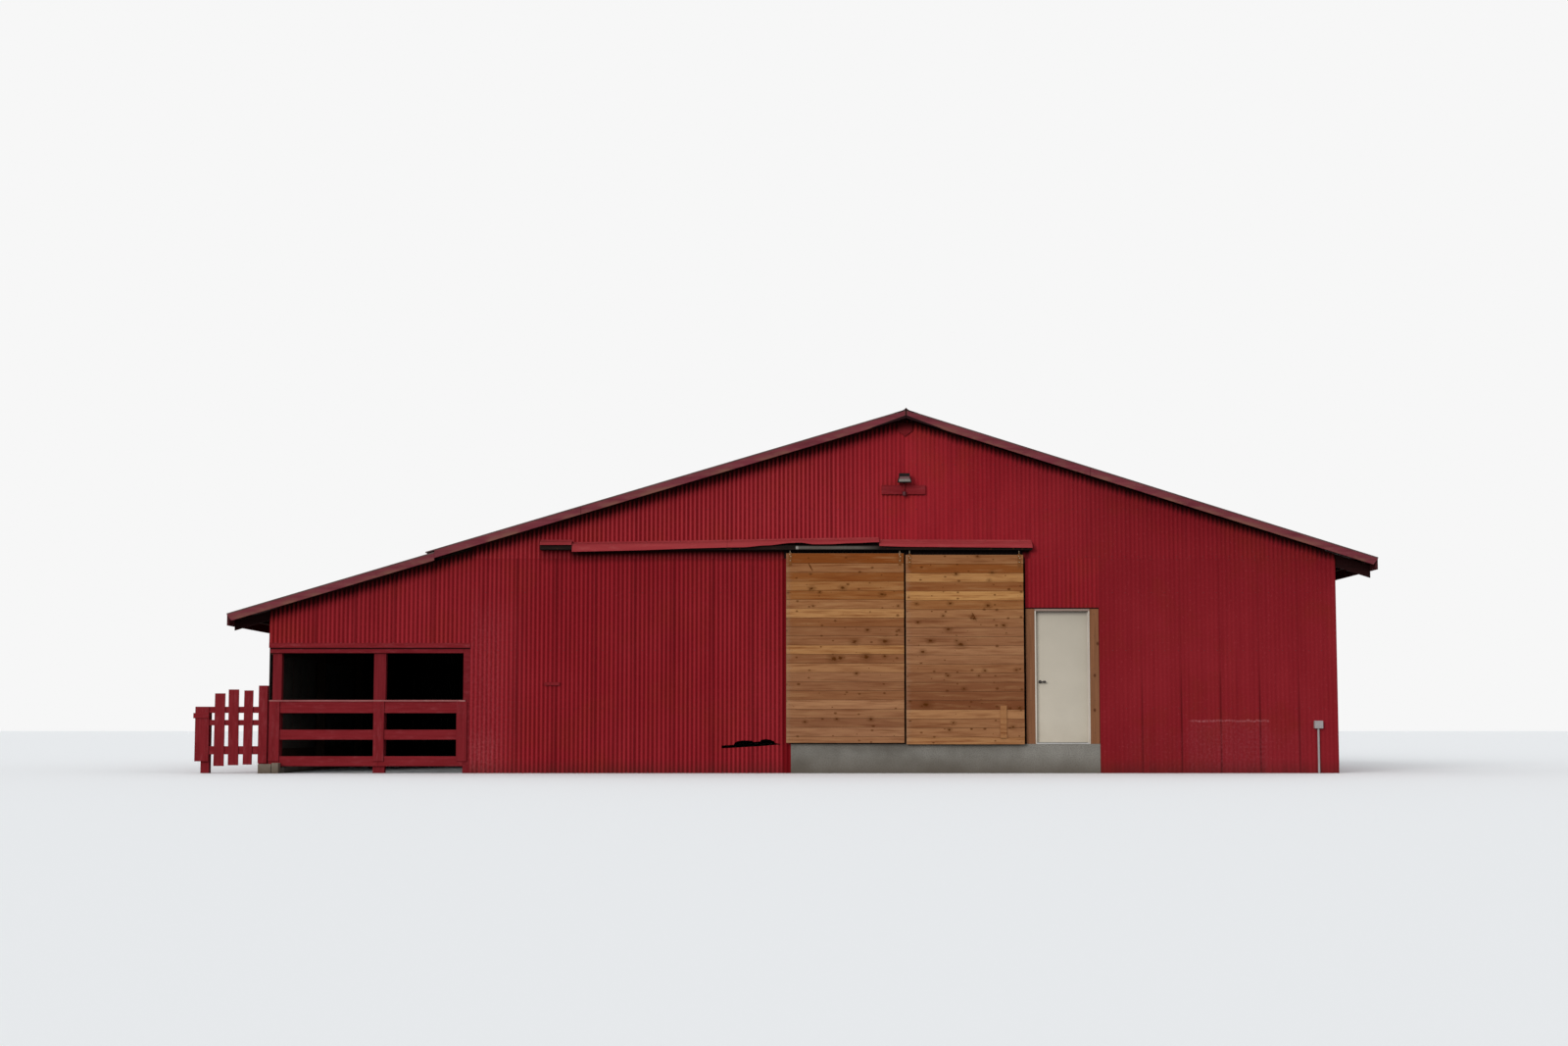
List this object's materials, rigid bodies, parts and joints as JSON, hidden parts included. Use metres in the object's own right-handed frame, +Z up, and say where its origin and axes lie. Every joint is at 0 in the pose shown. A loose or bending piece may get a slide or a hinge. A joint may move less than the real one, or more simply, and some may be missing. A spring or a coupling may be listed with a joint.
{
  "type": "red barn",
  "caption": "Gabled red barn of corrugated metal on posts, with plank sliding leaves on a track, a white entry door, an open lean-to and a board fence.",
  "frame": {"origin": "centre of the bounding box's footprint, on the lowest ground that the barn meets", "axes": "+X to the right along the front as seen from outside, +Y from the front gable to the back, +Z up"},
  "size_m": [18.336, 15.232, 5.6563],
  "materials": {
    "red_siding": "weathered red paint on corrugated steel",
    "roof_red": "dull maroon paint on corrugated steel",
    "red_trim": "weathered red paint on board",
    "maroon_trim": "dull maroon paint on board",
    "timber": "rough unpainted",
    "cedar": "bare knotty boards",
    "brown_board": "bare weathered board",
    "concrete": "cast concrete",
    "galvanised": "galvanised",
    "dark_steel": "dark weathered steel",
    "white_frame": "white paint",
    "white_door": "white paint",
    "sill_metal": "mill finish",
    "lever_metal": "dark bronze",
    "lamp_black": "matt",
    "box_grey": "satin"
  },
  "bodies": {
    "root": {"end_footings": "concrete", "side_footings": "concrete", "end_posts": "timber", "side_posts": "timber", "end_girts": "timber", "side_girts": "timber", "hall_rafters": "timber", "lean_rafters": "timber", "tie_beams": "timber", "truss_struts": "timber", "purlins": "timber", "right_roof": "roof_red", "left_roof": "roof_red", "lean_roof": "roof_red", "ridge_cap": "roof_red", "rake_boards": "maroon_trim", "eave_fascias": "maroon_trim", "front_siding_left": "red_siding", "front_siding_right": "red_siding", "front_siding_over_entry": "red_siding", "front_gable_siding": "red_siding", "lean_front_siding": "red_siding", "right_wall_siding": "red_siding", "lean_side_siding": "red_siding", "rear_siding": "red_siding", "bay_surround": "red_trim", "bay_fence": "red_trim", "fence_wing": "red_trim", "corner_stones": "concrete", "door_track": "galvanised", "track_brackets": "galvanised", "track_covers": "red_siding", "entry_casing": "brown_board", "entry_frame": "white_frame", "entry_sill": "sill_metal", "wall_boards": "red_trim", "flood_light": "lamp_black", "electrical_box": "box_grey"},
    "left_leaf": {"left_leaf_boards": "cedar", "left_leaf_frame": "cedar", "left_leaf_hangers": "dark_steel"},
    "right_leaf": {"right_leaf_boards": "cedar", "right_leaf_frame": "cedar", "right_leaf_hangers": "dark_steel"},
    "entry_door": {"entry_slab": "white_door"},
    "entry_lever": {"entry_lever": "lever_metal"}
  },
  "joints": [
    {"name": "left_leaf_slide", "type": "slide", "parent": "root", "child": "left_leaf", "axis": [-1, 0, 0], "range_m": [0, 3.8]},
    {"name": "right_leaf_slide", "type": "slide", "parent": "root", "child": "right_leaf", "axis": [-1, 0, 0], "range_m": [0, 3.8]},
    {"name": "entry_hinge", "type": "hinge", "parent": "root", "child": "entry_door", "pos_m": [4.6955, -7.1837, 1.49], "axis": [0, 0, -1], "range_deg": [0, 90]},
    {"name": "lever_turn", "type": "hinge", "parent": "entry_door", "child": "entry_lever", "pos_m": [3.949, -7.215, 1.409], "axis": [0, 1, 0], "range_deg": [0, 45], "stiffness_Nm_per_rad": 0.8, "springref_deg": -28.65}
  ],
  "couplings": [
    {"joint": "right_leaf_slide", "follows": "left_leaf_slide", "ratio": 1}
  ]
}
